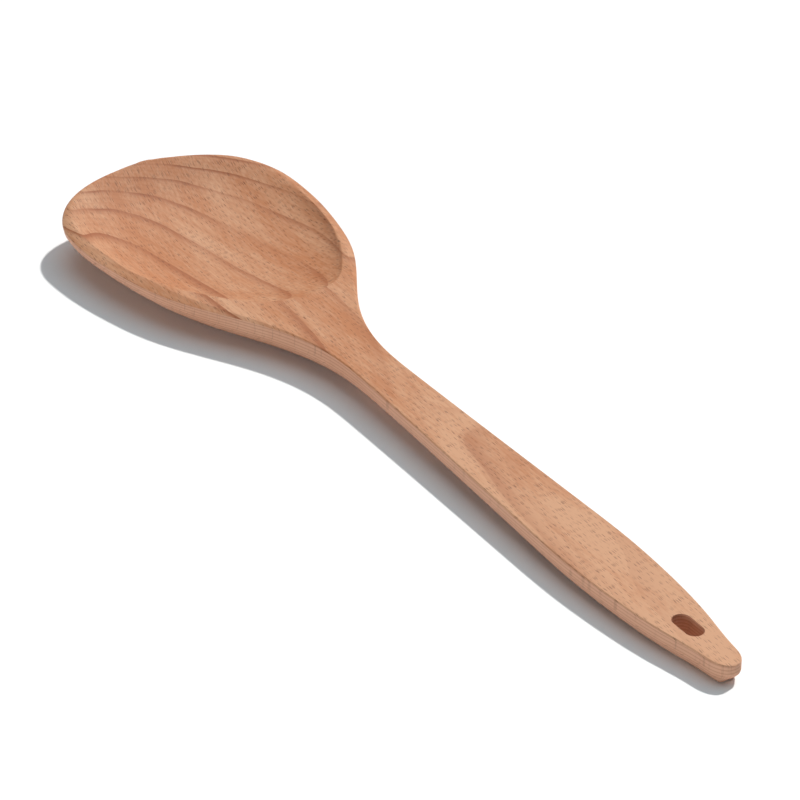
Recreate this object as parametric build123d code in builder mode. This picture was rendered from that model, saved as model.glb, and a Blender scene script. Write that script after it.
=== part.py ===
from build123d import *

import os

# A one-piece wooden cooking spoon, lying on its belly with the hollow up. X runs from
# the bowl to the handle's end, Y across, Z up from the table. The origin is on the
# table, under the middle of the spoon's length.

os.makedirs("parts", exist_ok=True)

# Plan sizes in millimetres; places along the spoon are measured from the front lip
spoon_length = 320.0
bowl_width = 81.5
bowl_widest_at = 31.3
neck_width = 14.9
neck_at = 155.0
grip_width = 21.3
grip_at = 259.0
end_width = 9.8
end_run = 8.0

# Heights of the top above the table
lip_height = 19.0
rim_height = 13.0
rim_low_height = 12.25
neck_height = 10.4
end_height = 6.45

# Underside: thickness of the lip, lowest place of the belly, clearance under the handle,
# and depth planed off where the spoon rests
lip_thickness = 8.0
belly_low_at = 76.0
neck_clearance = 3.6
grip_clearance = 3.7
grip_clear_at = 178.0
rest_flat = 0.12

# Side of the body: rounded crown at the lip, then a slope outside the rim; the crown's
# extra width where it turns round the tip; the wall below them, and the shoulder down to
# the underside
lip_crown_width = 4.5
lip_crown_drop = 2.2
tip_crown_spread = 9.0
tip_crown_run = 9.0
rim_slope_width = 3.2
rim_slope_drop = 1.5
arris = 0.35
rim_wall = 0.4
grip_wall = 2.1
end_wall = 2.5
shoulder_width = 3.1
belly_flat = 9.0

# Hollow of the bowl; its back end lies a little off the middle, as carved
hollow_width = 74.4
hollow_widest_at = 33.0
lip_band = 1.2
hollow_end_at = 98.8
hollow_end_width = 47.0
hollow_end_run = 15.0
hollow_shift = 2.5
floor_height = 4.9
floor_low_at = 62.0
edge_step = 0.4
edge_lean = 0.4

# Hanging slot
slot_length = 10.7
slot_width = 5.4
slot_from_end = 20.3
slot_arris = 0.4

# Spare length of the cutting tools, and how far an outline runs past its flat tip
overrun = 5.0
tip_flat = 0.12

# Outline as shares: how square the fronts of the body and of the hollow are, then
# (run, width) points of each stretch
front_power_share = 2.38
hollow_power_share = 2.5
front_shares = (0.015, 0.06, 0.14, 0.34, 0.66)
flare_shares = ((0.21, 0.92), (0.385, 0.74), (0.547, 0.425), (0.70, 0.14), (0.85, 0.01))
grip_shares = ((0.45, 0.46), (0.82, 0.88))
taper_shares = ((0.36, 0.855), (0.75, 0.425))
end_shares = (0.5, 0.25, 0.1, 0.03)
end_taper_share = 0.88

# Side view as shares: runs of the rim's two low points, (run, height) points of the keel,
# and the falls of the lip and of the keel where they start
rim_run_shares = (0.365, 0.57)
keel_shares = ((0.12, 0.62), (0.30, 0.22), (0.56, 0.09))
lip_fall_share = 0.275
keel_fall_share = 1.0

# Where the crown, the rim's slope and the round belly die out, as shares of the neck's
# place, and how far their curves pull; the handle's shoulder leans in where it starts
crown_fade_shares = (0.10, 0.32)
slope_fade_shares = (0.39, 0.83)
belly_fade_shares = (0.83, 1.29)
crown_share = 0.35
round_share = 0.55
bevel_share = 0.65
lean_share = 0.35
most_slope_share = 0.85
least_flat_share = 0.33

# Hollow as shares: (run, width) points of its flank and end, (run, height) points of its
# floor, and how far its side wall pulls out and down, gently at the lip and steeply
# farther back, and how far its floor pulls in
flank_shares = ((0.17, 0.965), (0.36, 0.90), (0.56, 0.762), (0.72, 0.548), (0.87, 0.29))
hollow_end_shares = ((0.74, 0.887), (0.46, 0.749), (0.207, 0.555), (0.1, 0.40), (0.03, 0.22))
front_floor_shares = ((0.17, 0.50), (0.40, 0.20), (0.70, 0.035))
neck_floor_shares = ((0.50, 0.22), (0.78, 0.585))
lip_wall_out_share = 0.82
lip_wall_down_share = 0.55
wall_out_share = 0.93
wall_down_share = 0.30
floor_in_share = 0.52
most_lean_share = 0.12

# Where sections are taken, as shares of a stretch: closer together at a closing end
closing_shares = (0, 0.012, 0.05, 0.12, 0.24, 0.42, 0.68)
even_shares = (0, 0.1, 0.2, 0.3, 0.4, 0.5, 0.6, 0.7, 0.8, 0.9)
grip_section_shares = (0, 0.14, 0.3, 0.48, 0.66, 0.82, 0.93, 1)
end_section_shares = (0.35, 0.62, 0.82, 0.94, 1)
hollow_section_shares = (0, 0.2, 0.4, 0.6, 0.8, 1)
hollow_closing_shares = (0.3, 0.58, 0.8, 0.94, 1)

# Places worked out from the sizes
middle = spoon_length / 2
taper_end = spoon_length - end_run
rest_at = spoon_length - shoulder_width
slot_at = spoon_length - slot_from_end
hollow_end_start = hollow_end_at - hollow_end_run
foot_height = lip_height - lip_thickness
roof_height = lip_height + overrun


def between(start, stop, share):
    """The value at a share of the way from start to stop."""
    return start + (stop - start) * share


def eased(start, stop, x, x_start, x_stop):
    """The value at x of a smooth step from start to stop."""
    share = min(max((x - x_start) / (x_stop - x_start), 0), 1)
    return between(start, stop, share * share * (3 - 2 * share))


def stretch(start, stop, shares):
    """Places between two places, at the given shares."""
    return [between(start, stop, share) for share in shares]


def line_points(start, stop, low, high, shares):
    """Points of a curve from start to stop, given as (run, height) shares."""
    return [(between(start, stop, run), between(low, high, height)) for run, height in shares]


def squared_ellipse(share, power):
    """Half width, as a share, of a squared ellipse at a share of its run from the tip."""
    return (1 - (1 - share) ** power) ** (1 / power)


def height_at(curve, x):
    """Second coordinate of a curve that runs along X, found by halving."""
    low, high = 0.0, 1.0
    for _ in range(32):
        centre = (low + high) / 2
        if curve.position_at(centre, PositionMode.PARAMETER).X < x:
            low = centre
        else:
            high = centre
    return curve.position_at(low, PositionMode.PARAMETER).Y


# Half outline of the body: squared front, flare into the neck, grip, taper, blunt end
front_points = [(share, squared_ellipse(share, front_power_share)) for share in front_shares]
tip_points = [
    (run, between(end_taper_share, 1, run) * squared_ellipse(run, front_power_share))
    for run in end_shares
]

with BuildLine() as outline:
    outline_curve = Spline(
        (-tip_flat, 0),
        *line_points(0, bowl_widest_at, 0, bowl_width / 2, front_points),
        (bowl_widest_at, bowl_width / 2),
        *line_points(bowl_widest_at, neck_at, neck_width / 2, bowl_width / 2, flare_shares),
        (neck_at, neck_width / 2),
        *line_points(neck_at, grip_at, neck_width / 2, grip_width / 2, grip_shares),
        (grip_at, grip_width / 2),
        *line_points(grip_at, taper_end, end_width / 2, grip_width / 2, taper_shares),
        (taper_end, end_width / 2),
        *line_points(spoon_length, taper_end, 0, end_width / 2, tip_points),
        (spoon_length + tip_flat, 0),
        tangents=[(0, 1), (0, -1)],
    )

# Half outline of the hollow: squared front, flank and rounded end
mouth_points = [(share, squared_ellipse(share, hollow_power_share)) for share in front_shares]

with BuildLine() as hollow_outline:
    hollow_curve = Spline(
        (lip_band - tip_flat, 0),
        *line_points(lip_band, hollow_widest_at, 0, hollow_width / 2, mouth_points),
        (hollow_widest_at, hollow_width / 2),
        *line_points(
            hollow_widest_at, hollow_end_start, hollow_end_width / 2, hollow_width / 2, flank_shares
        ),
        (hollow_end_start, hollow_end_width / 2),
        *line_points(hollow_end_at, hollow_end_start, 0, hollow_end_width / 2, hollow_end_shares),
        (hollow_end_at + tip_flat, 0),
        tangents=[(0, 1), (0, -1)],
    )

# Side view of the top: raised lip and low rim, up to the handle's one straight run
with BuildLine() as rim_line:
    rim_curve = Spline(
        (0, lip_height),
        (neck_at * rim_run_shares[0], rim_height),
        (neck_at * rim_run_shares[1], rim_low_height),
        (neck_at, neck_height),
        tangents=[(1, -lip_fall_share), (spoon_length - neck_at, end_height - neck_height)],
    )

# Side view of the underside: keel down to the resting place, then the handle's arch
with BuildLine() as keel_line:
    keel_curve = Spline(
        (0, foot_height),
        *line_points(0, belly_low_at, -rest_flat, foot_height, keel_shares),
        (belly_low_at, -rest_flat),
        tangents=[(1, -keel_fall_share), (1, 0)],
    )
with BuildLine() as arch_line:
    arch_curve = Spline(
        (belly_low_at, -rest_flat),
        (neck_at, neck_clearance),
        (grip_clear_at, grip_clearance),
        (rest_at, -rest_flat),
        tangents=[(1, 0), (rest_at - grip_clear_at, -grip_clearance)],
    )


def top_height(x):
    """Height of the top's middle: lip and rim, then straight to the end."""
    if x > neck_at:
        return between(neck_height, end_height, (x - neck_at) / (spoon_length - neck_at))
    return height_at(rim_curve, x)


# Side view of the hollow's floor: steep behind the lip, low, then up into the neck
lip_edge_height = top_height(lip_band) - edge_step
neck_edge_height = top_height(hollow_end_at) - edge_step

with BuildLine() as floor_line:
    floor_curve = Spline(
        (lip_band, lip_edge_height),
        *line_points(lip_band, floor_low_at, floor_height, lip_edge_height, front_floor_shares),
        (floor_low_at, floor_height),
        *line_points(
            floor_low_at, hollow_end_at, floor_height, neck_edge_height, neck_floor_shares
        ),
        (hollow_end_at, neck_edge_height),
    )


def section_plane(x):
    """Plane across the spoon at x, with its own X along Y and its own Y along Z."""
    return Plane(origin=(x - middle, 0, 0), x_dir=(0, 1, 0), z_dir=(1, 0, 0))


def body_section(x):
    """Face across the body: flat top, crown or slope, wall, shoulder and flat underside."""
    crown_fades = stretch(0, neck_at, crown_fade_shares)
    slope_fades = stretch(0, neck_at, slope_fade_shares)
    belly_fades = stretch(0, neck_at, belly_fade_shares)
    half = height_at(outline_curve, x)
    top = top_height(x)
    slope = eased(lip_crown_width, rim_slope_width, x, *crown_fades)
    slope += tip_crown_spread * max(1 - x / tip_crown_run, 0) ** 2
    slope = min(eased(slope, arris, x, *slope_fades), half * most_slope_share)
    drop = eased(lip_crown_drop, rim_slope_drop, x, *crown_fades)
    shoulder = top - eased(drop, arris, x, *slope_fades)
    crown = eased(crown_share, 0, x, *crown_fades)
    wall = eased(grip_wall, end_wall, x, neck_at, spoon_length)
    foot = shoulder - eased(rim_wall, wall, x, *slope_fades)
    if x < belly_low_at:
        keel = height_at(keel_curve, x)
    else:
        keel = height_at(arch_curve, min(x, rest_at))
    lowest = min(keel, foot - arris)
    end_rise = max(x - rest_at, 0) / shoulder_width
    bottom = between(lowest, foot - arris, end_rise)
    belly = min(belly_flat, half * least_flat_share)
    bevelled = max(half - shoulder_width, half * least_flat_share)
    flat = eased(belly, bevelled, x, *belly_fades)
    pull = eased(round_share, bevel_share, x, *belly_fades)
    lean = eased(0, lean_share, x, *belly_fades) * (foot - bottom) * pull
    with BuildSketch(section_plane(x)) as section:
        with BuildLine():
            Line((slope - half, top), (half - slope, top))
            for side in (1, -1):
                Bezier(
                    (side * (half - slope), top),
                    (side * (half - slope + slope * crown), top),
                    (side * half, between(shoulder, top, crown)),
                    (side * half, shoulder),
                )
                Line((side * half, shoulder), (side * half, foot))
                Bezier(
                    (side * half, foot),
                    (side * (half - lean), between(foot, bottom, pull)),
                    (side * between(flat, half, pull), bottom),
                    (side * flat, bottom),
                )
            Line((-flat, bottom), (flat, bottom))
        make_face()
    return section.sketch.face()


def hollow_section(x):
    """Face of the hollowing tool: open above, with steep sides and a level floor."""
    half = height_at(hollow_curve, x)
    floor = height_at(floor_curve, x)
    edge = top_height(x) + edge_step
    outer = half + min(edge_lean, half * most_lean_share)
    centre = eased(0, hollow_shift, x, floor_low_at, hollow_end_at)
    out = half * eased(lip_wall_out_share, wall_out_share, x, lip_band, floor_low_at)
    down = eased(lip_wall_down_share, wall_down_share, x, lip_band, floor_low_at)
    with BuildSketch(section_plane(x)) as section:
        with BuildLine():
            Line((centre - outer, roof_height), (centre + outer, roof_height))
            for side in (1, -1):
                wall = centre + side * outer
                Line((wall, roof_height), (wall, edge))
                Bezier(
                    (wall, edge),
                    (centre + side * out, between(floor, edge, down)),
                    (centre + side * half * floor_in_share, floor),
                    (centre, floor),
                )
        make_face()
    return section.sketch.face()


body_places = stretch(0, bowl_widest_at, closing_shares)
body_places += stretch(bowl_widest_at, neck_at, even_shares)
body_places += stretch(neck_at, taper_end, grip_section_shares)
body_places += stretch(taper_end, spoon_length, end_section_shares)

hollow_places = stretch(lip_band, hollow_widest_at, closing_shares)
hollow_places += stretch(hollow_widest_at, hollow_end_start, hollow_section_shares)
hollow_places += stretch(hollow_end_start, hollow_end_at, hollow_closing_shares)

with BuildPart() as spoon:
    loft([body_section(x) for x in body_places])

    # Hollow of the bowl
    loft([hollow_section(x) for x in hollow_places], mode=Mode.SUBTRACT)

    # Hanging slot, with its rims eased
    with BuildSketch(Plane.XY.offset(-overrun)):
        with Locations((slot_at - middle, 0)):
            SlotOverall(slot_length, slot_width)
    extrude(amount=roof_height, mode=Mode.SUBTRACT)
    slot_start = slot_at - slot_length / 2 - middle
    slot_edges = spoon.edges().filter_by_position(
        Axis.X, slot_start - arris, slot_start + slot_length + arris
    )
    slot_rims = slot_edges.filter_by_position(
        Axis.Y, -slot_width / 2 - arris, slot_width / 2 + arris
    )
    chamfer(slot_rims.filter_by(Axis.Z, reverse=True), slot_arris)

    # Flats that the spoon rests on, under the belly and the handle's end
    with BuildSketch(Plane.XY):
        Rectangle(spoon_length + 2 * overrun, bowl_width + 2 * overrun)
    extrude(amount=-overrun, mode=Mode.SUBTRACT)

spoon.part.label = "spoon"
export_step(spoon.part, "parts/spoon.step")
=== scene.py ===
import math

import bmesh
import bpy
import numpy as np
from mathutils import Matrix, Vector


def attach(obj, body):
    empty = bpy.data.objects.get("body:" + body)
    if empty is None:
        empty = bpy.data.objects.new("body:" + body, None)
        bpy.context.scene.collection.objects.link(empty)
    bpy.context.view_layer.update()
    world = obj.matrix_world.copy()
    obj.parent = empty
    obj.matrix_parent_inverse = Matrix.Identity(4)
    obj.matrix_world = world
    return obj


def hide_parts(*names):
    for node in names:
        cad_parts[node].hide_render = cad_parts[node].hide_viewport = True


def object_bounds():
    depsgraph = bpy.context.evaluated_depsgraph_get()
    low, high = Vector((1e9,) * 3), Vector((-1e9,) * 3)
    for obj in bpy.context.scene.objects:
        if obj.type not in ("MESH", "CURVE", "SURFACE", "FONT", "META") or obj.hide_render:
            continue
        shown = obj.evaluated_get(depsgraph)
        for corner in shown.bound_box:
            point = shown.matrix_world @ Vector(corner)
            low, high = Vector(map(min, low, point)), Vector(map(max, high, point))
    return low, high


bl_info = {
    "name": "Wooden spoon",
    "version": (1, 0, 0),
    "blender": (4, 5, 0),
    "location": "View3D > Sidebar > Spoon",
    "description": "Carves a cooking spoon from one piece of beech and sets it on a white table",
    "category": "Add Mesh",
}

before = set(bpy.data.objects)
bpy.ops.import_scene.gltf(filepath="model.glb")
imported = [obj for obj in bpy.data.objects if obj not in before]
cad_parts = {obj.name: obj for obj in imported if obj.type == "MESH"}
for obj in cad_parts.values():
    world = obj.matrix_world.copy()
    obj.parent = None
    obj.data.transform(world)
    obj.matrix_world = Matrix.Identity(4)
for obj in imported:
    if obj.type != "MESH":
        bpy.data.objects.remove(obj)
cad_low, cad_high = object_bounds()

MM = 0.001

# Half outline of the spoon seen from above, as (run, width) shares of each stretch
FRONT_SHARES = (0.015, 0.06, 0.14, 0.34, 0.66)
FRONT_POWER_SHARE = 2.38
HOLLOW_POWER_SHARE = 2.5
FLARE_SHARES = ((0.21, 0.92), (0.385, 0.74), (0.547, 0.425), (0.70, 0.14), (0.85, 0.01))
GRIP_SHARES = ((0.45, 0.46), (0.82, 0.88))
TAPER_SHARES = ((0.36, 0.855), (0.75, 0.425))
END_SHARES = (0.5, 0.25, 0.1, 0.03)
END_TAPER_SHARE = 0.88

# Side view, as shares: runs of the rim's low points, (run, height) points of the keel
RIM_RUN_SHARES = (0.365, 0.57)
KEEL_SHARES = ((0.12, 0.62), (0.30, 0.22), (0.56, 0.09))
LIP_FALL_SHARE = 0.275

# Where the crown, the rim's slope and the round belly die out, as shares of the neck's
# place, and how far their curves pull
CROWN_FADE_SHARES = (0.10, 0.32)
SLOPE_FADE_SHARES = (0.39, 0.83)
BELLY_FADE_SHARES = (0.83, 1.29)
CROWN_SHARE = 0.35
ROUND_SHARE = 0.55
BEVEL_SHARE = 0.65
LEAN_SHARE = 0.35
MOST_SLOPE_SHARE = 0.85

# The hollow, as (run, width) shares of its outline and (run, height) shares of its floor
FLANK_SHARES = ((0.17, 0.965), (0.36, 0.90), (0.56, 0.762), (0.72, 0.548), (0.87, 0.29))
HOLLOW_END_SHARES = ((0.74, 0.887), (0.46, 0.749), (0.207, 0.555), (0.1, 0.40), (0.03, 0.22))
FRONT_FLOOR_SHARES = ((0.17, 0.50), (0.40, 0.20), (0.70, 0.035))
NECK_FLOOR_SHARES = ((0.50, 0.22), (0.78, 0.585))
LIP_WALL_SHARES = (0.82, 0.55)
WALL_SHARES = (0.93, 0.30)
FLOOR_IN_SHARE = 0.52

# How steeply the hollow's wall runs on past its edge, at the lip and farther back, and how
# many millimetres before and behind the hollow the wall still counts, and rises by how much
LIP_EDGE_SLOPE = 0.7
EDGE_SLOPE = 3.0
WALL_REACH = (1, 2)
WALL_RISE = 0.6

# Distances along the spoon, in millimetres: how near its ends the hollow's outline is read,
# over how much the outline's place dies out behind the hollow, and the step for its slant
MOUTH_MARGIN = 0.12
FADE_RUN = 25
SLANT_STEP = 0.1

# Rounding of the spoon's ends, in millimetres, and the least share of a section that is left
LIP_ROUNDING = 1.0
END_ROUNDING = 0.6
LEAST_SECTION = 0.3

# Year rings, as levels of a field of the place in the wood, measured in steps of 60, 40 and
# 10 mm along, across and up, from the bowl's middle. Each field is shifted, tilted and bent:
# in the bowl the rings stand slanting, in the handle they lie nearly flat and arch. Then where
# the first gives way to the second, the step from ring to ring, where the first ring starts,
# and the step of the faint layers inside a ring
FIELD_SHIFT = (1.667, 0, 0)
FIELD_SCALE = (16.67, 25, 100)
BOWL_RINGS = ((0, 0, 0), (-0.241, 1, -0.624), (0.287, 0, 0.531))
HANDLE_RINGS = ((0, -0.17, -0.71), (0, 0, 1), (0, 0.75, 0))
HANDLE_BLEND = (1.25, 2.3)
RING_STEP = 0.41
RING_START = 0.04
LAYER_STEP = 0.1

# Cells of noise per metre along, across and up. Beech's fibres are 0.02 mm thick and 1 mm
# long; they are drawn 0.8 mm thick and 7 mm long, as fine as the picture can show
WAVE_SCALE = (9, 45, 45)
PATCH_SCALE = (16, 60, 60)
TONE_SCALE = (22, 90, 90)
FIBRE_SCALE = (150, 1300, 1000)
SMOOTH = {"interpolation_type": "SMOOTHSTEP"}

# Lights: name, strength, width in degrees, colour and the direction they come from. A hard
# key from above and behind, a wide light overhead and a low fill on the near side
LIGHTS = (
    ("Key", 2.75, 3, (1.0, 0.975, 0.95), (-0.20, 0.72, 1.0)),
    ("Top", 1.05, 75, (0.8, 0.93, 1.0), (-0.05, 0.3, 1.0)),
    ("Fill", 1.2, 30, (0.95, 0.98, 1.0), (0.1, -1.0, 0.08)),
)
WORLD_COLOUR = (0.72, 0.9, 1, 1)
WORLD_STRENGTH = 0.06
TABLE_SIZE = 12

# Camera: place in metres, turn and tilt in degrees, then the focal length and the width of
# the picture in pixels, and the sensor's width in millimetres
CAMERA_PLACE = (0.661525, -0.405169, 0.440188)
CAMERA_TURN = 148.536
CAMERA_TILT = 29.248
FOCAL_PIXELS = 3085.65
PICTURE_PIXELS = 800
SENSOR_WIDTH = 36

# Points round the section: under shoulder, wall, edge, slope, arris, then the top in a
# band, the hollow's edge and the hollow, and the flat underside
SHOULDER_STEPS = 12
WALL_STEPS = 3
ROUND_STEPS = 4
SLOPE_STEPS = 12
BAND_STEPS = 4
HOLLOW_STEPS = 52
BELLY_STEPS = 10
EDGE_OFFSETS = (0, 0.22, 0.5, 1)
SIDE_STEPS = SHOULDER_STEPS + WALL_STEPS + SLOPE_STEPS + 2 * ROUND_STEPS
TOP_STEPS = 2 * (BAND_STEPS + 2 * len(EDGE_OFFSETS) - 1) + HOLLOW_STEPS - 1
RING_STEPS = 2 * SIDE_STEPS + TOP_STEPS + BELLY_STEPS - 1
LENGTH_CUTS = (14, 15)

# Distance from ring to ring, in millimetres: over the bowl, behind it, and the least one and
# its growth per millimetre away from the spoon's ends and from the hollow's ends
BOWL_GAP = 1.3
HANDLE_GAP = 2.6
BOWL_GAP_END = 112
END_GAP = (0.06, 0.2)
HOLLOW_GAP = (0.2, 0.3)
RUN_SAMPLES = 20001

# Points across the top: width of the dense band at the hollow's edge, in millimetres, how
# much of its surroundings that band may take, and how the other points spread
EDGE_BAND = 0.9
LIP_BAND_ROUNDS = 1.6
OUTSIDE_SHARE = 0.6
INSIDE_SHARE = 0.5
LEAST_ROOM = 0.02
FADED_EDGE_SHARE = 0.6
MOST_EDGE_SHARE = 0.9
WIDE_ROOM = 2
WIDE_ROOM_POWER = 1.6
EVEN_SHARE = 0.65

# Narrowest half section and the part of it for the belly's level strip; the part of the
# slope's curve between its arrises, and how far those are rounded, on bowl and handle
LEAST_HALF = 0.6
LEVEL_SHARE = 1 / 3
SLOPE_SPAN = (0.12, 0.9)
SIDE_ROUNDING = (0.35, 0.2)
TOP_ROUNDING = (0.8, 0.2)
CORNER_SHARE = 0.45
LEAN_LIMIT_SHARE = 0.12

# The slot's cutter, in metres, and how level or sharp the wood round it has to be
SLOT_SIDES = 64
CUTTER_DEPTH = 0.04
LEVEL_NORMAL = 0.97
CLEAR_ALONG = 0.002
CLEAR_ACROSS = 0.001
SHARP_ANGLE = 1.2
CLOSE = 1e-5


def length(name, default_mm, text):
    """A size property in metres, with its default given in millimetres."""
    return bpy.props.FloatProperty(
        name=name, description=text, default=default_mm * MM, subtype="DISTANCE", unit="LENGTH", precision=5
    )


class SpoonBodySizes(bpy.types.PropertyGroup):
    """Sizes of the spoon's outside; places along it are measured from the front lip."""

    bowl_width: length("Bowl width", 81.5, "Widest place of the bowl")
    bowl_widest_at: length("Bowl widest at", 31.3, "Distance of the widest place from the lip")
    neck_width: length("Neck width", 14.9, "Narrowest place between bowl and handle")
    neck_at: length("Neck at", 155.0, "Distance of the neck from the lip")
    grip_width: length("Grip width", 21.3, "Widest place of the handle")
    grip_at: length("Grip at", 259.0, "Distance of the handle's widest place from the lip")
    end_width: length("End width", 9.8, "Width where the handle's end starts to round")
    end_run: length("End run", 8.0, "Length over which the handle's end rounds off")
    lip_height: length("Lip height", 19.0, "Height of the lip's top")
    rim_height: length("Rim height", 13.0, "Height of the rim beside the widest place")
    rim_low_height: length("Low rim height", 12.25, "Height of the rim behind the hollow")
    neck_height: length("Neck height", 10.4, "Height of the top at the neck")
    end_height: length("End height", 6.45, "Height of the top at the handle's end")
    lip_thickness: length("Lip thickness", 8.0, "Thickness of the front lip")
    belly_low_at: length("Belly low at", 76.0, "Distance of the resting place from the lip")
    neck_clearance: length("Neck clearance", 3.6, "Height of the underside at the neck")
    grip_clearance: length("Grip clearance", 3.7, "Highest place of the underside")
    grip_clear_at: length("Grip clear at", 178.0, "Distance of that place from the lip")
    lip_crown_width: length("Lip crown width", 4.5, "Width of the rounded outside of the lip")
    lip_crown_drop: length("Lip crown drop", 2.2, "Fall of the rounded outside of the lip")
    tip_crown_spread: length("Tip crown spread", 9.0, "Extra width of the crown round the tip")
    tip_crown_run: length("Tip crown run", 9.0, "Distance from the tip where that width ends")
    rim_slope_width: length("Rim slope width", 3.2, "Width of the slope outside the rim")
    rim_slope_drop: length("Rim slope drop", 1.5, "Fall of the slope outside the rim")
    arris: length("Arris", 0.35, "Width of the eased edge along the handle")
    rim_wall: length("Rim wall", 0.4, "Height of the bowl's upright side")
    grip_wall: length("Grip wall", 2.1, "Height of the handle's upright side")
    end_wall: length("End wall", 2.5, "Height of the upright side at the handle's end")
    shoulder_width: length("Shoulder width", 3.1, "Width of the bevel under the handle")
    belly_flat: length("Belly flat", 9.0, "Half width of the level strip under the bowl")


class SpoonHollowSizes(bpy.types.PropertyGroup):
    """Sizes of the hollow and of the hanging slot."""

    hollow_width: length("Hollow width", 74.4, "Widest place of the hollow")
    hollow_widest_at: length("Hollow widest at", 33.0, "Distance of the hollow's widest place from the lip")
    lip_band: length("Lip band", 1.2, "Distance from the front to the hollow")
    hollow_end_at: length("Hollow end at", 98.8, "Distance of the hollow's back end from the lip")
    hollow_end_width: length("Hollow end width", 47.0, "Width where the back end starts to round")
    hollow_end_run: length("Hollow end run", 15.0, "Length over which the back end rounds off")
    hollow_shift: length("Hollow shift", 2.5, "How far the back end lies off the middle")
    floor_height: length("Floor height", 4.9, "Lowest place of the hollow's floor")
    floor_low_at: length("Floor low at", 62.0, "Distance of that place from the lip")
    edge_step: length("Edge step", 0.4, "Depth at which the hollow starts at its ends")
    edge_lean: length("Edge lean", 0.4, "How far the wall leans out at its top")
    lip_round: length("Lip round", 2.0, "Softness of the hollow's edge at the lip")
    edge_round: length("Edge round", 0.5, "Softness of the hollow's edge at its back")
    slot_length: length("Slot length", 10.7, "Length of the hanging slot")
    slot_width: length("Slot width", 5.4, "Width of the hanging slot")
    slot_from_end: length("Slot from end", 20.3, "Distance of the slot's middle from the handle's end")
    slot_arris: length("Slot arris", 0.4, "Width of the slot's eased rims")


def between(start, stop, share):
    """The value at a share of the way from start to stop."""
    return start + (stop - start) * share


def eased(start, stop, x, x_start, x_stop):
    """The value at x of a smooth step from start to stop."""
    share = min(max((x - x_start) / (x_stop - x_start), 0), 1)
    return between(start, stop, share * share * (3 - 2 * share))


def softly_lower(first, second, softness):
    """The lower of two heights, with the meeting of the two rounded off."""
    close = np.maximum(softness - np.abs(first - second), 0) / softness
    return np.minimum(first, second) - close * close * softness / 4


def line_points(start, stop, low, high, shares):
    """Points of a curve from start to stop, given as (run, height) shares."""
    return [(between(start, stop, run), between(low, high, height)) for run, height in shares]


def curve_through(points, start=None, stop=None):
    """Fine points of a smooth curve through the points; start and stop are its directions."""
    places = np.array(points, float)
    gaps = np.linalg.norm(np.diff(places, axis=0), axis=1)
    count = len(places)
    system, wanted = np.zeros((count, count)), np.zeros((count, 2))
    for i in range(1, count - 1):
        before, after = gaps[i - 1], gaps[i]
        system[i, i - 1 : i + 2] = after, 2 * (before + after), before
        wanted[i] = 3 * (
            after * (places[i] - places[i - 1]) / before + before * (places[i + 1] - places[i]) / after
        )
    for row, inner, way, gap in ((0, 1, start, gaps[0]), (count - 1, count - 2, stop, gaps[-1])):
        if way is None:
            system[row, row], system[row, inner] = 2, 1
            wanted[row] = 3 * (places[max(row, inner)] - places[min(row, inner)]) / gap
        else:
            system[row, row] = 1
            wanted[row] = np.array(way, float) / np.linalg.norm(way)
    slopes = np.linalg.solve(system, wanted)
    fine = []
    for i in range(count - 1):
        for t in np.linspace(0, 1, 33)[:-1]:
            near, far = (1 + 2 * t) * (1 - t) ** 2, t * t * (3 - 2 * t)
            fine.append(
                near * places[i] + far * places[i + 1]
                + gaps[i] * (t * (1 - t) ** 2 * slopes[i] - t * t * (1 - t) * slopes[i + 1])
            )
    fine.append(places[-1])
    fine = np.array(fine)
    return fine[:, 0], fine[:, 1]


def rounded_corner(before, corner, after, reach):
    """Points of a small arc that rounds a corner, from before towards after."""
    corner, before, after = (np.array(p, float) for p in (corner, before, after))
    into, out = (
        corner + way * min(reach / max(np.linalg.norm(way), 1e-9), CORNER_SHARE)
        for way in (before - corner, after - corner)
    )
    shares = np.linspace(0, 1, ROUND_STEPS + 1)[:, None]
    return (1 - shares) ** 2 * into + 2 * shares * (1 - shares) * corner + shares**2 * out


def stretch(first, last, steps):
    """Evenly spaced points from first to last, without last."""
    shares = np.linspace(0, 1, steps + 1)[:-1, None]
    return np.array(first, float) * (1 - shares) + np.array(last, float) * shares


def bezier(first, pull_first, pull_last, last, t):
    """Points at the shares t of a cubic curve with two control points."""
    first, pull_first, pull_last, last = (np.array(p, float) for p in (first, pull_first, pull_last, last))
    t = np.array(t)[:, None]
    near = (1 - t) ** 3 * first + 3 * (1 - t) ** 2 * t * pull_first
    return near + 3 * (1 - t) * t**2 * pull_last + t**3 * last


def squared_ellipse(share, power):
    """Half width, as a share, of a squared ellipse at a share of its run from the tip."""
    return (1 - (1 - share) ** power) ** (1 / power)


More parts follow.
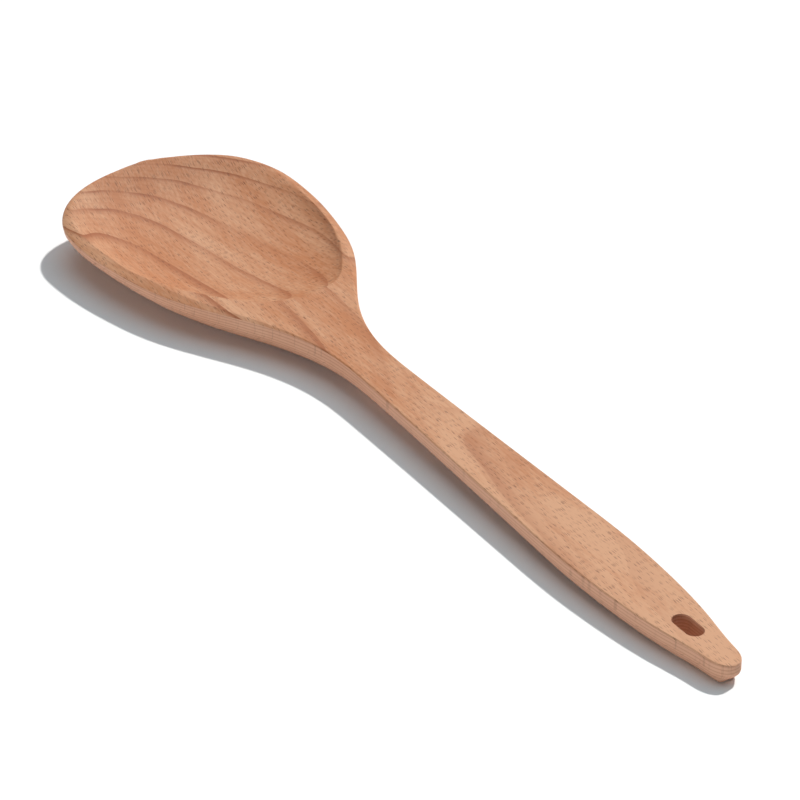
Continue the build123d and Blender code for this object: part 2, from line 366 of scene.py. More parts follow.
class SpoonShape:
    """The spoon's section at every place along it, in millimetres from the front lip."""

    def __init__(self, body, hollow, whole_length):
        for group in (body, hollow):
            for name in group.__annotations__:
                setattr(self, name, getattr(group, name) / MM)
        self.whole_length = whole_length / MM
        self.taper_end = self.whole_length - self.end_run
        self.rest_at = self.whole_length - self.shoulder_width
        self.draw_outline()
        self.draw_side_view()
        self.draw_hollow()

    def draw_outline(self):
        """Half outline seen from above."""
        front = [(s, squared_ellipse(s, FRONT_POWER_SHARE)) for s in FRONT_SHARES]
        tip = [
            (s, between(END_TAPER_SHARE, 1, s) * squared_ellipse(s, FRONT_POWER_SHARE))
            for s in END_SHARES
        ]
        half_bowl, half_neck = self.bowl_width / 2, self.neck_width / 2
        half_grip, half_end = self.grip_width / 2, self.end_width / 2
        self.outline = curve_through(
            [
                (0, 0),
                *line_points(0, self.bowl_widest_at, 0, half_bowl, front),
                (self.bowl_widest_at, half_bowl),
                *line_points(self.bowl_widest_at, self.neck_at, half_neck, half_bowl, FLARE_SHARES),
                (self.neck_at, half_neck),
                *line_points(self.neck_at, self.grip_at, half_neck, half_grip, GRIP_SHARES),
                (self.grip_at, half_grip),
                *line_points(self.grip_at, self.taper_end, half_end, half_grip, TAPER_SHARES),
                (self.taper_end, half_end),
                *line_points(self.whole_length, self.taper_end, 0, half_end, tip),
                (self.whole_length, 0),
            ],
            (0, 1),
            (0, -1),
        )

    def draw_side_view(self):
        """Lines of the top and of the underside, seen from the side."""
        foot = self.lip_height - self.lip_thickness
        self.rim = curve_through(
            [
                (0, self.lip_height),
                (self.neck_at * RIM_RUN_SHARES[0], self.rim_height),
                (self.neck_at * RIM_RUN_SHARES[1], self.rim_low_height),
                (self.neck_at, self.neck_height),
            ],
            (1, -LIP_FALL_SHARE),
            (self.whole_length - self.neck_at, self.end_height - self.neck_height),
        )
        self.keel = curve_through(
            [(0, foot), *line_points(0, self.belly_low_at, 0, foot, KEEL_SHARES), (self.belly_low_at, 0)],
            (1, -1),
            (1, 0),
        )
        self.arch = curve_through(
            [
                (self.belly_low_at, 0),
                (self.neck_at, self.neck_clearance),
                (self.grip_clear_at, self.grip_clearance),
                (self.rest_at, 0),
            ],
            (1, 0),
            (self.rest_at - self.grip_clear_at, -self.grip_clearance),
        )

    def draw_hollow(self):
        """Half outline and floor of the hollow."""
        half, half_end = self.hollow_width / 2, self.hollow_end_width / 2
        self.hollow_end_start = self.hollow_end_at - self.hollow_end_run
        front = [(s, squared_ellipse(s, HOLLOW_POWER_SHARE)) for s in FRONT_SHARES]
        self.mouth = curve_through(
            [
                (self.lip_band, 0),
                *line_points(self.lip_band, self.hollow_widest_at, 0, half, front),
                (self.hollow_widest_at, half),
                *line_points(self.hollow_widest_at, self.hollow_end_start, half_end, half, FLANK_SHARES),
                (self.hollow_end_start, half_end),
                *line_points(self.hollow_end_at, self.hollow_end_start, 0, half_end, HOLLOW_END_SHARES),
                (self.hollow_end_at, 0),
            ],
            (0, 1),
            (0, -1),
        )
        lip_edge = self.top(self.lip_band) - self.edge_step
        neck_edge = self.top(self.hollow_end_at) - self.edge_step
        self.floor = curve_through(
            [
                (self.lip_band, lip_edge),
                *line_points(
                    self.lip_band, self.floor_low_at, self.floor_height, lip_edge, FRONT_FLOOR_SHARES
                ),
                (self.floor_low_at, self.floor_height),
                *line_points(
                    self.floor_low_at, self.hollow_end_at, self.floor_height, neck_edge, NECK_FLOOR_SHARES
                ),
                (self.hollow_end_at, neck_edge),
            ]
        )

    def top(self, x):
        """Height of the top's middle."""
        if x > self.neck_at:
            share = (x - self.neck_at) / (self.whole_length - self.neck_at)
            return between(self.neck_height, self.end_height, share)
        return np.interp(x, *self.rim)

    def floor_at(self, x):
        """Height of the hollow's floor, carried on past its ends so that they round off."""
        runs, heights = self.floor
        if x < self.lip_band:
            slope = (heights[1] - heights[0]) / (runs[1] - runs[0])
            return heights[0] + slope * (x - self.lip_band)
        if x > self.hollow_end_at:
            slope = (heights[-1] - heights[-2]) / (runs[-1] - runs[-2])
            return heights[-1] + slope * (x - self.hollow_end_at)
        return np.interp(x, runs, heights)

    def mouth_at(self, x):
        """Half width and middle of the hollow's outline; behind it the middle moves back."""
        inside = min(max(x, self.lip_band + MOUTH_MARGIN), self.hollow_end_at - MOUTH_MARGIN)
        half = np.interp(inside, *self.mouth)
        middle = eased(0, self.hollow_shift, inside, self.floor_low_at, self.hollow_end_at)
        return half, middle * (1 - self.share_behind(x))

    def share_behind(self, x):
        """How far the hollow's outline has died out at a place behind its end."""
        return min(max(x - self.hollow_end_at, 0) / FADE_RUN, 1)

    def hollow_wall(self, x):
        """Widths and heights of half the hollow's section, from its middle outwards."""
        half, _ = self.mouth_at(x)
        floor, edge = self.floor_at(x), self.top(x) + self.edge_step
        outer = half + min(self.edge_lean, half * LEAN_LIMIT_SHARE)
        out, down = (
            eased(at_lip, behind, x, self.lip_band, self.floor_low_at)
            for at_lip, behind in zip(LIP_WALL_SHARES, WALL_SHARES)
        )
        wall = bezier(
            (0, floor),
            (half * FLOOR_IN_SHARE, floor),
            (half * out, between(floor, edge, down)),
            (outer, edge),
            np.linspace(0, 1, 81),
        )
        return wall[:, 0], wall[:, 1]

    def top_points(self, x, reach):
        """Points across the top, from the right arris to the left one."""
        top = self.top(x)
        half, middle = self.mouth_at(x)
        out, up = self.hollow_wall(x)
        edge = min(np.interp(top, up, out), half) if up[0] < top else half
        edge = between(edge, reach * FADED_EDGE_SHARE, self.share_behind(x))
        edge = min(edge, reach * MOST_EDGE_SHARE)
        inside = eased(self.lip_round * LIP_BAND_ROUNDS, EDGE_BAND, x, self.lip_band, self.floor_low_at)
        inside = min(inside, edge * INSIDE_SHARE)
        across = []
        for side in (1, -1):
            room = max(reach - side * middle - edge, LEAST_ROOM)
            outside = min(EDGE_BAND, room * OUTSIDE_SHARE)
            outer = edge + outside
            band = np.linspace(0, 1, BAND_STEPS + 1)[:-1]
            band = band**WIDE_ROOM_POWER if room > WIDE_ROOM else band
            line = [between(reach - side * middle, outer, share) for share in band]
            line += [edge + outside * offset for offset in EDGE_OFFSETS[::-1]]
            line += [edge - inside * offset for offset in EDGE_OFFSETS[1:]]
            across.append([middle + side * v for v in line])
        inner = across[0][-1], across[1][-1]
        shares = np.linspace(0, 1, HOLLOW_STEPS + 1)[1:-1]
        shares = between((1 - np.cos(math.pi * shares)) / 2, shares, EVEN_SHARE)
        ys = across[0] + [between(inner[0], inner[1], s) for s in shares] + across[1][::-1]
        return np.column_stack([ys, np.full(len(ys), top)])

    def hollowed(self, x, ys, heights):
        """Heights of points of the top once the hollow is cut, with its edge softened."""
        before, behind = WALL_REACH
        if not self.lip_band - before < x < self.hollow_end_at + behind:
            return heights
        _, middle = self.mouth_at(x)
        out, up = self.hollow_wall(x)
        across = np.abs(ys - middle)
        rise = min(max(x - self.hollow_end_at, self.lip_band - x, 0), 1)
        inside = max(x, self.lip_band + MOUTH_MARGIN)
        near, far = np.interp([inside, inside + SLANT_STEP], *self.mouth)
        widening = max(far - near, 0) / SLANT_STEP
        steepness = eased(LIP_EDGE_SLOPE, EDGE_SLOPE, x, self.lip_band, self.floor_low_at)
        steepness /= math.hypot(1, widening)
        softness = eased(self.lip_round, self.edge_round, x, self.lip_band, self.floor_low_at)
        past = np.maximum(across - out[-1], 0) * steepness
        return softly_lower(heights, np.interp(across, out, up) + past + WALL_RISE * rise, softness)

    def ring(self, x):
        """Points round the section, right side first, then over the top to the left."""
        half = max(np.interp(x, *self.outline), LEAST_HALF)
        neck = self.neck_at
        crown_fades = [neck * s for s in CROWN_FADE_SHARES]
        slope_fades = [neck * s for s in SLOPE_FADE_SHARES]
        belly_fades = [neck * s for s in BELLY_FADE_SHARES]
        top = self.top(x)
        slope = eased(self.lip_crown_width, self.rim_slope_width, x, *crown_fades)
        slope += self.tip_crown_spread * max(1 - x / self.tip_crown_run, 0) ** 2
        slope = min(eased(slope, self.arris, x, *slope_fades), half * MOST_SLOPE_SHARE)
        drop = eased(self.lip_crown_drop, self.rim_slope_drop, x, *crown_fades)
        shoulder = top - eased(drop, self.arris, x, *slope_fades)
        wall = eased(self.grip_wall, self.end_wall, x, neck, self.whole_length)
        foot = shoulder - eased(self.rim_wall, wall, x, *slope_fades)
        keel = np.interp(x, *self.keel) if x < self.belly_low_at else np.interp(x, *self.arch)
        lowest = min(keel, foot - self.arris)
        bottom = between(lowest, foot - self.arris, max(x - self.rest_at, 0) / self.shoulder_width)
        bottom = max(bottom, 0)
        belly = min(self.belly_flat, half * LEVEL_SHARE)
        flat = eased(belly, max(half - self.shoulder_width, half * LEVEL_SHARE), x, *belly_fades)
        pull = eased(ROUND_SHARE, BEVEL_SHARE, x, *belly_fades)
        lean = eased(0, LEAN_SHARE, x, *belly_fades) * (foot - bottom) * pull
        under = bezier(
            (flat, bottom),
            (between(flat, half, pull), bottom),
            (half - lean, between(foot, bottom, pull)),
            (half, foot),
            np.linspace(0, 1, SHOULDER_STEPS + 1)[:-1],
        )
        crown = eased(CROWN_SHARE, 0, x, *crown_fades)
        fall = bezier(
            (half, shoulder),
            (half, between(shoulder, top, crown)),
            (half - slope + slope * crown, top),
            (half - slope, top),
            np.linspace(*SLOPE_SPAN, SLOPE_STEPS),
        )
        edge_reach = eased(*SIDE_ROUNDING, x, *slope_fades)
        arris_reach = eased(*TOP_ROUNDING, x, *slope_fades)
        edge = rounded_corner((half, foot), (half, shoulder), fall[0], edge_reach)
        arris = rounded_corner(fall[-1], (half - slope, top), (0, top), arris_reach)
        side = np.vstack(
            [under, stretch((half, foot), edge[0], WALL_STEPS), edge[:-1], fall, arris[:-1]]
        )
        across = self.top_points(x, arris[-1][0])
        mirrored = side[::-1] * (-1, 1)
        level = stretch((-flat, bottom), (flat, bottom), BELLY_STEPS)[1:]
        points = np.vstack([side, across, mirrored, level])
        above = points[:, 1] > shoulder
        points[above, 1] = self.hollowed(x, points[above, 0], points[above, 1])
        return points

    def places(self, count):
        """Places along the spoon, close together where its ends and the hollow's ends curve."""
        xs = np.linspace(0, self.whole_length, RUN_SAMPLES)
        gap = np.where(xs < BOWL_GAP_END, BOWL_GAP, HANDLE_GAP)
        for place, (least, growth) in (
            (0, END_GAP),
            (self.whole_length, END_GAP),
            (self.lip_band, HOLLOW_GAP),
            (self.hollow_end_at, HOLLOW_GAP),
        ):
            gap = np.minimum(gap, least + growth * np.abs(xs - place))
        run = np.concatenate([[0], np.cumsum((1 / gap[1:] + 1 / gap[:-1]) / 2)])
        return np.interp(np.linspace(0, run[-1], count), run, xs)


def deselect_all():
    """Nothing stays selected, so that the next operator acts only on what it adds."""
    bpy.ops.object.select_all(action="DESELECT")


def select_parts(piece, kind, wanted):
    """In edit mode, selects the edges or faces that the test picks, and nothing else."""
    bpy.ops.mesh.select_mode(type=kind)
    bpy.ops.mesh.select_all(action="DESELECT")
    shape = bmesh.from_edit_mesh(piece.data)
    for part in shape.edges if kind == "EDGE" else shape.faces:
        part.select_set(wanted(part))
    shape.select_flush_mode()
    bmesh.update_edit_mesh(piece.data)


def end_rounding(distance, radius):
    """How far the section draws in at a distance from a rounded end."""
    if distance >= radius:
        return 0
    return radius - math.sqrt(radius * radius - (radius - distance) ** 2)


class SPOON_OT_carve(bpy.types.Operator):
    """Carve the spoon: a turned blank is cut into rings, shaped section by section, and slotted"""

    bl_idname = "spoon.carve"
    bl_label = "Carve spoon"
    bl_options = {"REGISTER", "UNDO"}

    def execute(self, context):
        shape = SpoonShape(context.scene.spoon_body, context.scene.spoon_hollow, cad_high[0] - cad_low[0])
        deselect_all()
        bpy.ops.mesh.primitive_cylinder_add(
            vertices=RING_STEPS,
            radius=shape.grip_width * MM / 2,
            depth=shape.whole_length * MM,
            end_fill_type="NGON",
            rotation=(0, math.pi / 2, 0),
        )
        piece = context.object
        piece.name = piece.data.name = "carved_spoon"
        bpy.ops.object.transform_apply(location=False, rotation=True, scale=False)
        bpy.ops.object.mode_set(mode="EDIT")
        for cuts in LENGTH_CUTS:
            select_parts(piece, "EDGE", self.runs_lengthwise)
            bpy.ops.mesh.subdivide(number_cuts=cuts)
        bpy.ops.object.mode_set(mode="OBJECT")
        self.shape_rings(piece, shape)
        self.cut_slot(context, piece, shape)
        bpy.ops.object.mode_set(mode="EDIT")
        bpy.ops.mesh.select_all(action="SELECT")
        bpy.ops.mesh.normals_make_consistent(inside=False)
        bpy.ops.object.mode_set(mode="OBJECT")
        bpy.ops.object.shade_smooth()
        weights = piece.modifiers.new("Flat faces stay flat", "WEIGHTED_NORMAL")
        weights.weight = 50
        bpy.ops.object.modifier_apply(modifier=weights.name)
        piece.data.materials.append(beech_material(context.scene.spoon_look))
        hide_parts("spoon")
        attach(piece, "root")
        return {"FINISHED"}

    def runs_lengthwise(self, edge):
        """True for an edge of the blank that runs along it."""
        first, second = (v.co for v in edge.verts)
        return abs(first.x - second.x) > 10 * abs((first - second).yz.length)

    def shape_rings(self, piece, shape):
        """Moves every ring of the blank to the spoon's section at its place."""
        mesh = piece.data
        points = np.zeros(len(mesh.vertices) * 3)
        mesh.vertices.foreach_get("co", points)
        points = points.reshape(-1, 3)
        rings = int(round(len(points) / RING_STEPS))
        along = np.rint((points[:, 0] / (shape.whole_length * MM) + 0.5) * (rings - 1)).astype(int)
        turn = np.arctan2(points[:, 2], points[:, 1]) / (2 * math.pi) * RING_STEPS
        start = turn.min()
        around = np.rint(turn - start).astype(int) % RING_STEPS
        sections = []
        for x in shape.places(rings):
            ring = shape.ring(x)
            inset = end_rounding(x, LIP_ROUNDING) + end_rounding(shape.whole_length - x, END_ROUNDING)
            if inset:
                low, high = ring.min(axis=0), ring.max(axis=0)
                scale = np.maximum(1 - 2 * inset / (high - low), LEAST_SECTION)
                ring = between((low + high) / 2, ring, scale)
            sections.append(np.column_stack([np.full(RING_STEPS, x - shape.whole_length / 2), ring]))
        placed = np.array(sections)[along, around] * MM
        mesh.vertices.foreach_set("co", placed.ravel())
        mesh.update()

    def cut_slot(self, context, piece, shape):
        """Cuts the hanging slot through the handle and eases its rims."""
        slot_at = (shape.whole_length / 2 - shape.slot_from_end) * MM
        half_length, radius = shape.slot_length * MM / 2, shape.slot_width * MM / 2
        for up in (1, -1):
            bpy.ops.object.mode_set(mode="EDIT")
            select_parts(
                piece,
                "FACE",
                lambda face: face.normal.z * up > LEVEL_NORMAL
                and abs(face.calc_center_median().x - slot_at) < half_length + CLEAR_ALONG
                and abs(face.calc_center_median().y) < radius + CLEAR_ACROSS,
            )
            bpy.ops.mesh.dissolve_faces()
            bpy.ops.object.mode_set(mode="OBJECT")
        deselect_all()
        bpy.ops.mesh.primitive_cylinder_add(
            vertices=SLOT_SIDES, radius=radius, depth=CUTTER_DEPTH, location=(slot_at, 0, 0)
        )
        cutter = context.object
        bpy.ops.object.transform_apply(location=True, rotation=False, scale=False)
        bpy.ops.object.mode_set(mode="EDIT")
        for way in (1, -1):
            bpy.ops.mesh.select_mode(type="VERT")
            bpy.ops.mesh.select_all(action="DESELECT")
            blank = bmesh.from_edit_mesh(cutter.data)
            for v in blank.verts:
                v.select_set((v.co.x - slot_at) * way > CLOSE / 10)
            blank.select_flush_mode()
            bmesh.update_edit_mesh(cutter.data)
            bpy.ops.transform.translate(value=(way * (half_length - radius), 0, 0))
        bpy.ops.object.mode_set(mode="OBJECT")
        deselect_all()
        context.view_layer.objects.active = piece
        piece.select_set(True)
        cut = piece.modifiers.new("Hanging slot", "BOOLEAN")
        cut.operation, cut.object, cut.solver = "DIFFERENCE", cutter, "EXACT"
        bpy.ops.object.modifier_apply(modifier=cut.name)
        bpy.data.objects.remove(cutter)
        bpy.ops.object.mode_set(mode="EDIT")
        select_parts(
            piece,
            "EDGE",
            lambda edge: all(
                abs(v.co.x - slot_at) < half_length + CLOSE and abs(v.co.y) < radius + CLOSE
                for v in edge.verts
            )
            and len(edge.link_faces) == 2
            and edge.calc_face_angle() > SHARP_ANGLE,
        )
        bpy.ops.mesh.bevel(
            offset=shape.slot_arris * MM, segments=3, profile=0.5, clamp_overlap=True, affect="EDGES"
        )
        bpy.ops.object.mode_set(mode="OBJECT")


def hex_colour(name, default, text):
    """A colour property, written as a six-digit sRGB hex value."""
    return bpy.props.StringProperty(name=name, description=text, default=default)


class SpoonLook(bpy.types.PropertyGroup):
    """Colours of the beech, with light painted paler on its sides and handle, and how far apart its marks
    are.
    """

    wood: hex_colour("Wood", "C17E54", "Ground colour of the beech")
    # Real paler streaks, and also a painted sheen: the same colour makes the whole handle paler
    pale_wood_and_sheen: hex_colour("Pale wood and sheen", "D49F7B", "Paler, pinker streaks between the year rings")
    # Painted light: a paler, pinker tone on the sides, standing in for light bounced off the white table
    side_bounce_light: hex_colour("Side bounce light", "DBA78B", "Paler, pinker tone painted on the sides for light bounced off the table")
    ring_wood: hex_colour("Year ring", "9E5833", "Late wood at the end of each year's growth")
    ray_wood: hex_colour("Ray", "6A3B25", "Cut ends of the wood's rays")
    ray_length: length("Ray length", 2.7, "Room for one ray along the grain")
    ray_width: length("Ray width", 0.23, "Room for one ray across the grain")
    ray_depth: length("Ray depth", 10.0, "Room for one ray from ring to ring")


def linear(hex_code):
    """Linear colour of an sRGB hex value."""
    shares = [int(hex_code[i : i + 2], 16) / 255 for i in (0, 2, 4)]
    return [s / 12.92 if s <= 0.04045 else ((s + 0.055) / 1.055) ** 2.4 for s in shares] + [1.0]


def add_node(tree, kind, inputs, **settings):
    """Adds a node with its settings; each input is given a value or linked to a socket."""
    node = tree.nodes.new("ShaderNode" + kind)
    for name, value in settings.items():
        setattr(node, name, value)
    for slot, value in inputs.items():
        if isinstance(value, bpy.types.NodeSocket):
            tree.links.new(value, node.inputs[slot])
        else:
            node.inputs[slot].default_value = value
    return node


def beech_material(look):
    """European beech, carved along the grain from a flat-sawn plank, sanded and oiled.

    Carving through level year rings draws them as contour lines in the hollow and as long
    arches on the handle. Beech's broad rays are cut across on the top, where they show as
    short dark dashes along the grain, and lengthwise on the sides, where they show as
    faint upright flecks. The oil deepens the colour and leaves a soft, nearly dull sheen.
    """
    material = bpy.data.materials.new("Oiled beech")
    material.use_nodes = True
    tree = material.node_tree
    shader = tree.nodes["Principled BSDF"]
    coords = add_node(tree, "TexCoord", {})
    place = coords.outputs["Object"]

    # Run along the spoon from the bowl's middle, width and height, in the fields' steps
    shares = add_node(
        tree, "Mapping", {"Vector": place, "Location": FIELD_SHIFT, "Scale": FIELD_SCALE}
    ).outputs[0]
    fields = []
    for shift, tilt, bend in (BOWL_RINGS, HANDLE_RINGS):
        moved = add_node(tree, "VectorMath", {0: shares, 1: shift}, operation="ADD").outputs[0]
        squares = add_node(tree, "VectorMath", {0: moved, 1: moved}, operation="MULTIPLY").outputs[0]
        tilted = add_node(tree, "VectorMath", {0: moved, 1: tilt}, operation="DOT_PRODUCT").outputs[1]
        bent = add_node(tree, "VectorMath", {0: squares, 1: bend}, operation="DOT_PRODUCT").outputs[1]
        fields.append(add_node(tree, "Math", {0: tilted, 1: bent}, operation="ADD").outputs[0])
    run, _, height = add_node(tree, "SeparateXYZ", {0: shares}).outputs
    bowl_end, handle_start = HANDLE_BLEND
    at_handle = add_node(
        tree, "MapRange", {"Value": run, "From Min": bowl_end, "From Max": handle_start}, **SMOOTH
    ).outputs[0]
    rings = add_node(tree, "Mix", {0: at_handle, 2: fields[0], 3: fields[1]}).outputs[0]

    # Slow waves of the growth, much longer along the grain than across it
    slow = add_node(tree, "Mapping", {"Vector": place, "Scale": WAVE_SCALE}).outputs[0]
    wave = add_node(
        tree, "TexNoise", {"Vector": slow, "Scale": 1.0, "Detail": 2.0, "Roughness": 0.45}
    ).outputs["Fac"]
    growth = add_node(tree, "Math", {0: wave, 1: 0.24, 2: rings}, operation="MULTIPLY_ADD").outputs[0]

    # A year's growth darkens slowly and ends in a thin dark line
    year = add_node(
        tree, "Math", {0: growth, 1: 1 / RING_STEP, 2: RING_START}, operation="MULTIPLY_ADD"
    ).outputs[0]
    season = add_node(tree, "Math", {0: year}, operation="FRACT").outputs[0]
    late = add_node(
        tree, "MapRange", {"Value": season, "From Min": 0.62, "From Max": 0.96}, **SMOOTH
    ).outputs[0]
    ended = add_node(
        tree, "MapRange", {"Value": season, "From Min": 1.0, "From Max": 0.965}, **SMOOTH
    ).outputs[0]
    late_wood = add_node(tree, "Math", {0: late, 1: ended}, operation="MULTIPLY").outputs[0]
    late_wood = add_node(tree, "Math", {0: late_wood, 1: 2.2}, operation="POWER").outputs[0]

    # A ring is stronger in some patches than in others
    patch_place = add_node(
        tree, "Mapping", {"Vector": place, "Scale": PATCH_SCALE, "Location": (3, 5, 7)}
    ).outputs[0]
    patch = add_node(tree, "TexNoise", {"Vector": patch_place, "Scale": 1.0, "Detail": 1.0}).outputs["Fac"]
    strength = add_node(
        tree,
        "MapRange",
        {"Value": patch, "From Min": 0.32, "From Max": 0.62, "To Min": 0.15, "To Max": 0.85},
    ).outputs[0]

    # Rings die out on the neck, where the two fields meet, and are fainter on the handle
    off_neck = add_node(tree, "Math", {0: at_handle, 1: 2.0, 2: -1.0}, operation="MULTIPLY_ADD").outputs[0]
    off_neck = add_node(tree, "Math", {0: off_neck}, operation="ABSOLUTE").outputs[0]
    fainter = add_node(tree, "MapRange", {"Value": at_handle, "To Min": 1.0, "To Max": 0.6}).outputs[0]

    # Rings show on wood that faces up. Wood that faces sideways is painted paler and pinker: painted light,
    # standing in for light bounced off the white table
    facing = add_node(tree, "SeparateXYZ", {0: coords.outputs["Normal"]}).outputs["Z"]
    upward = add_node(
        tree, "MapRange", {"Value": facing, "From Min": 0.2, "From Max": 0.8}, **SMOOTH
    ).outputs[0]
    # Share of the painted bounce light, strongest on wood that faces sideways
    side_bounce_share = add_node(tree, "MapRange", {"Value": upward, "To Min": 0.65, "To Max": 0.0}).outputs[0]
    ring_share = late_wood
    for share in (strength, off_neck, fainter, upward):
        ring_share = add_node(tree, "Math", {0: ring_share, 1: share}, operation="MULTIPLY").outputs[0]

    # Faint layers within the year; on the sides they lie level, as fine lines
    level = add_node(tree, "Math", {0: wave, 1: 0.25, 2: height}, operation="MULTIPLY_ADD").outputs[0]
    level = add_node(tree, "Mix", {0: upward, 2: level, 3: growth}).outputs[0]
    layer = add_node(tree, "Math", {0: level, 1: 1 / LAYER_STEP}, operation="MULTIPLY").outputs[0]
    layer = add_node(tree, "Math", {0: layer}, operation="FRACT").outputs[0]
    layer = add_node(
        tree, "MapRange", {"Value": layer, "From Min": 0.5, "From Max": 0.95}, **SMOOTH
    ).outputs[0]
    depth = add_node(tree, "MapRange", {"Value": upward, "To Min": 0.38, "To Max": 0.12}).outputs[0]
    layer_share = add_node(tree, "Math", {0: layer, 1: depth}, operation="MULTIPLY").outputs[0]

    # Rays: a flat cell each, long from ring to ring, with a dark core; some are left out, and
    # they are fainter on the sides
    ray_scale = [1 / look.ray_length, 1 / look.ray_width, 1 / look.ray_depth]
    ray_place = add_node(tree, "Mapping", {"Vector": place, "Scale": ray_scale}).outputs[0]
    ray_cell = add_node(tree, "TexVoronoi", {"Vector": ray_place, "Scale": 1.0}, feature="F1")
    ray = add_node(
        tree,
        "MapRange",
        {"Value": ray_cell.outputs["Distance"], "From Min": 0.45, "From Max": 0.2},
        **SMOOTH,
    ).outputs[0]
    drawn = add_node(tree, "SeparateXYZ", {0: ray_cell.outputs["Color"]}).outputs["X"]
    chosen = add_node(
        tree, "MapRange", {"Value": drawn, "From Min": 0.35, "From Max": 1.0, "To Min": 0.0, "To Max": 0.9}
    ).outputs[0]
    on_show = add_node(tree, "MapRange", {"Value": upward, "To Min": 0.3, "To Max": 1.0}).outputs[0]
    ray_share = ray
    for share in (chosen, on_show):
        ray_share = add_node(tree, "Math", {0: ray_share, 1: share}, operation="MULTIPLY").outputs[0]

    # Fibres, the finest streaks, and broader paler and darker places; the handle is also painted paler, a
    # painted sheen standing in for the sky's reflection on its flat top
    fibre_place = add_node(tree, "Mapping", {"Vector": place, "Scale": FIBRE_SCALE}).outputs[0]
    fibre = add_node(
        tree, "TexNoise", {"Vector": fibre_place, "Scale": 1.0, "Detail": 3.0, "Roughness": 0.6}
    ).outputs["Fac"]
    tone_place = add_node(tree, "Mapping", {"Vector": place, "Scale": TONE_SCALE}).outputs[0]
    tone = add_node(tree, "TexNoise", {"Vector": tone_place, "Scale": 1.0, "Detail": 3.0}).outputs["Fac"]
    streak = add_node(tree, "Math", {0: fibre, 1: 0.8, 2: tone}, operation="MULTIPLY_ADD").outputs[0]
    # painted sheen: the handle is made paler
    streak = add_node(tree, "Math", {0: at_handle, 1: 0.2, 2: streak}, operation="MULTIPLY_ADD").outputs[0]
    paleness_and_handle_sheen = add_node(tree, "MapRange", {"Value": streak, "From Min": 0.72, "From Max": 1.16}).outputs[0]

    colour = linear(look.wood)
    for share, mark in (
        # pale streaks, and the painted sheen on the handle
        (paleness_and_handle_sheen, look.pale_wood_and_sheen),
        # painted bounce light on the sides
        (side_bounce_share, look.side_bounce_light),
        (layer_share, look.ring_wood),
        (ring_share, look.ring_wood),
        (ray_share, look.ray_wood),
    ):
        mix = add_node(tree, "Mix", {0: share, 6: colour, 7: linear(mark)}, data_type="RGBA")
        colour = mix.outputs[2]
    tree.links.new(colour, shader.inputs["Base Color"])

    # Sanding leaves the rays a trace lower than the wood round them
    relief = add_node(tree, "Math", {0: ray_share, 1: -0.6, 2: fibre}, operation="MULTIPLY_ADD").outputs[0]
    bump = add_node(tree, "Bump", {"Height": relief, "Strength": 0.25, "Distance": 0.05 * MM})
    tree.links.new(bump.outputs[0], shader.inputs["Normal"])

    # Thin oil sinks in, so the sheen stays soft and varies a little from fibre to fibre
    roughness = add_node(tree, "MapRange", {"Value": fibre, "To Min": 0.64, "To Max": 0.78}).outputs[0]
    tree.links.new(roughness, shader.inputs["Roughness"])
    shader.inputs["IOR"].default_value = 1.48
    return material


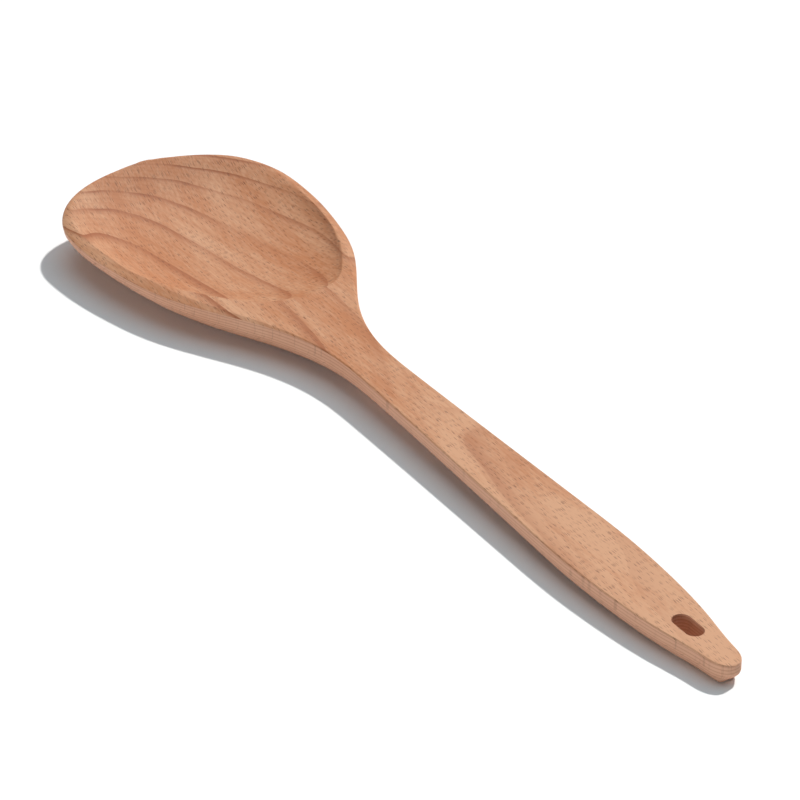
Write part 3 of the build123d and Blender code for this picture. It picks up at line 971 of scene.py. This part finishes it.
class SPOON_OT_stage(bpy.types.Operator):
    """Set the table, the light and the camera"""

    bl_idname = "spoon.stage"
    bl_label = "Set the stage"
    bl_options = {"REGISTER", "UNDO"}

    def execute(self, context):
        deselect_all()
        bpy.ops.mesh.primitive_plane_add(size=TABLE_SIZE, location=(0, 0, 0))
        table = context.object
        table.name = "table"
        paper = bpy.data.materials.new("White paper")
        paper.use_nodes = True
        shader = paper.node_tree.nodes["Principled BSDF"]
        shader.inputs["Base Color"].default_value = (1, 1, 1, 1)
        shader.inputs["Roughness"].default_value = 0.9
        shader.inputs["Specular IOR Level"].default_value = 0
        table.data.materials.append(paper)

        for name, energy, angle, colour, direction in LIGHTS:
            deselect_all()
            bpy.ops.object.light_add(type="SUN")
            lamp = context.object
            lamp.name = name
            lamp.data.energy = energy
            lamp.data.angle = math.radians(angle)
            lamp.data.color = colour
            lamp.rotation_euler = Vector(direction).to_track_quat("Z", "Y").to_euler()

        world = bpy.data.worlds.new("Studio")
        context.scene.world = world
        world.use_nodes = True
        background = world.node_tree.nodes["Background"]
        background.inputs["Color"].default_value = WORLD_COLOUR
        background.inputs["Strength"].default_value = WORLD_STRENGTH

        deselect_all()
        bpy.ops.object.camera_add(location=CAMERA_PLACE)
        camera = context.object
        turn, tilt = math.radians(CAMERA_TURN), math.radians(CAMERA_TILT)
        ahead = Vector((math.cos(turn) * math.cos(tilt), math.sin(turn) * math.cos(tilt), -math.sin(tilt)))
        right = Vector((math.sin(turn), -math.cos(turn), 0))
        camera.rotation_euler = Matrix((right, right.cross(ahead), -ahead)).transposed().to_euler()
        camera.data.sensor_width = SENSOR_WIDTH
        camera.data.lens = FOCAL_PIXELS / PICTURE_PIXELS * SENSOR_WIDTH
        camera.data.clip_end = 20
        context.scene.camera = camera
        context.scene.view_settings.view_transform = "Standard"
        return {"FINISHED"}


class SPOON_PT_panel(bpy.types.Panel):
    """Sidebar panel with the spoon's sizes, look and operators"""

    bl_label = "Wooden spoon"
    bl_idname = "SPOON_PT_panel"
    bl_space_type = "VIEW_3D"
    bl_region_type = "UI"
    bl_category = "Spoon"

    def draw(self, context):
        column = self.layout.column()
        for group in (context.scene.spoon_body, context.scene.spoon_hollow, context.scene.spoon_look):
            for name in group.__annotations__:
                column.prop(group, name)
        column.operator("spoon.carve")
        column.operator("spoon.stage")


CLASSES = (
    SpoonBodySizes,
    SpoonHollowSizes,
    SpoonLook,
    SPOON_OT_carve,
    SPOON_OT_stage,
    SPOON_PT_panel,
)


def register():
    """Registers the classes and the spoon's settings."""
    for one in CLASSES:
        bpy.utils.register_class(one)
    bpy.types.Scene.spoon_body = bpy.props.PointerProperty(type=SpoonBodySizes)
    bpy.types.Scene.spoon_hollow = bpy.props.PointerProperty(type=SpoonHollowSizes)
    bpy.types.Scene.spoon_look = bpy.props.PointerProperty(type=SpoonLook)


def unregister():
    """Takes the settings and the classes away again."""
    del bpy.types.Scene.spoon_look
    del bpy.types.Scene.spoon_hollow
    del bpy.types.Scene.spoon_body
    for one in reversed(CLASSES):
        bpy.utils.unregister_class(one)


def main():
    """Registers the settings, sets the stage and carves the spoon."""
    register()
    bpy.ops.spoon.stage()
    bpy.ops.spoon.carve()


if __name__ == "__main__":
    main()
